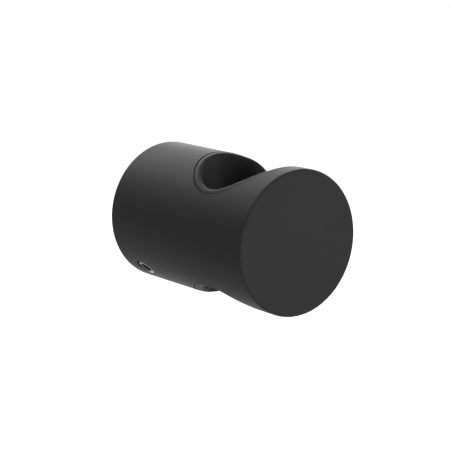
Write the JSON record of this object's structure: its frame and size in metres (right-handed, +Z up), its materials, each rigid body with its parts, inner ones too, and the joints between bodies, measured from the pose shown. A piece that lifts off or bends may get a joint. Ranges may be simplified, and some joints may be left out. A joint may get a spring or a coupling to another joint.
{
  "type": "hand shower holder",
  "caption": "Round wall bracket that holds a hand shower's cone in a lined keyhole seat, with a side slot for the hose.",
  "frame": {"origin": "centre of the wall face, where the cylinder's axis meets the wall", "axes": "+Y into the wall along the cylinder's axis, +Z up, +X to the side the hose slot opens to"},
  "size_m": [0.04, 0.059, 0.04],
  "materials": {
    "matt_black_coating": "matt, fine powder-like",
    "black_plastic": "satin moulded",
    "bare_brass": "turned, uncoated",
    "stainless_steel": "plain"
  },
  "bodies": {
    "root": {"body": "matt_black_coating", "socket_liner": "black_plastic", "mounting_base": "bare_brass", "set_screw": "stainless_steel"}
  },
  "joints": []
}
